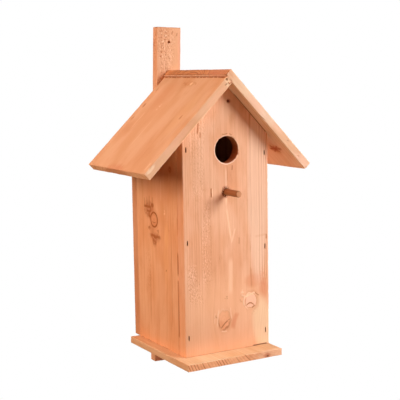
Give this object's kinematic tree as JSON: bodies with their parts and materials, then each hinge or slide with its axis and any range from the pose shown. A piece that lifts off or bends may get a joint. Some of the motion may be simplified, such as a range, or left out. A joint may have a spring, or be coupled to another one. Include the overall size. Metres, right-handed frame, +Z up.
{
  "type": "hanging nest box",
  "caption": "Tall wooden nest box with a lapped gable roof, round entrance hole and perch, hung from a wall batten by a nail hole above the ridge.",
  "frame": {"origin": "centre of the hanging hole on the wall batten's back face", "axes": "+Z up, +Y into the wall behind the batten, so the front board faces -Y, +X to the right seen from the front"},
  "size_m": [0.2263, 0.174, 0.4353],
  "materials": {
    "front_board": "bare planed softwood",
    "rear_board": "bare planed softwood",
    "left_side_board": "bare planed softwood",
    "right_side_board": "bare planed softwood",
    "base_plate": "bare planed softwood",
    "left_roof_panel": "bare planed softwood",
    "right_roof_panel": "bare planed softwood",
    "wall_batten": "bare rough-sawn softwood",
    "perch_dowel": "bare planed softwood",
    "staple_steel": "dull galvanised steel",
    "nail_steel": "dull galvanised steel",
    "screw_steel": "dull galvanised steel"
  },
  "bodies": {
    "root": {"front_board": "front_board", "rear_board": "rear_board", "left_side_board": "left_side_board", "right_side_board": "right_side_board", "base_plate": "base_plate", "left_roof_panel": "left_roof_panel", "right_roof_panel": "right_roof_panel", "wall_batten": "wall_batten", "perch_dowel": "perch_dowel", "front_left_staples": "staple_steel", "front_right_staples": "staple_steel", "gable_nail": "nail_steel", "rear_left_staples": "staple_steel", "rear_right_staples": "staple_steel", "left_roof_staples": "staple_steel", "right_roof_staples": "staple_steel", "ridge_staples": "staple_steel", "base_side_staples": "staple_steel", "base_front_staples": "staple_steel", "batten_screws": "screw_steel"}
  },
  "joints": []
}
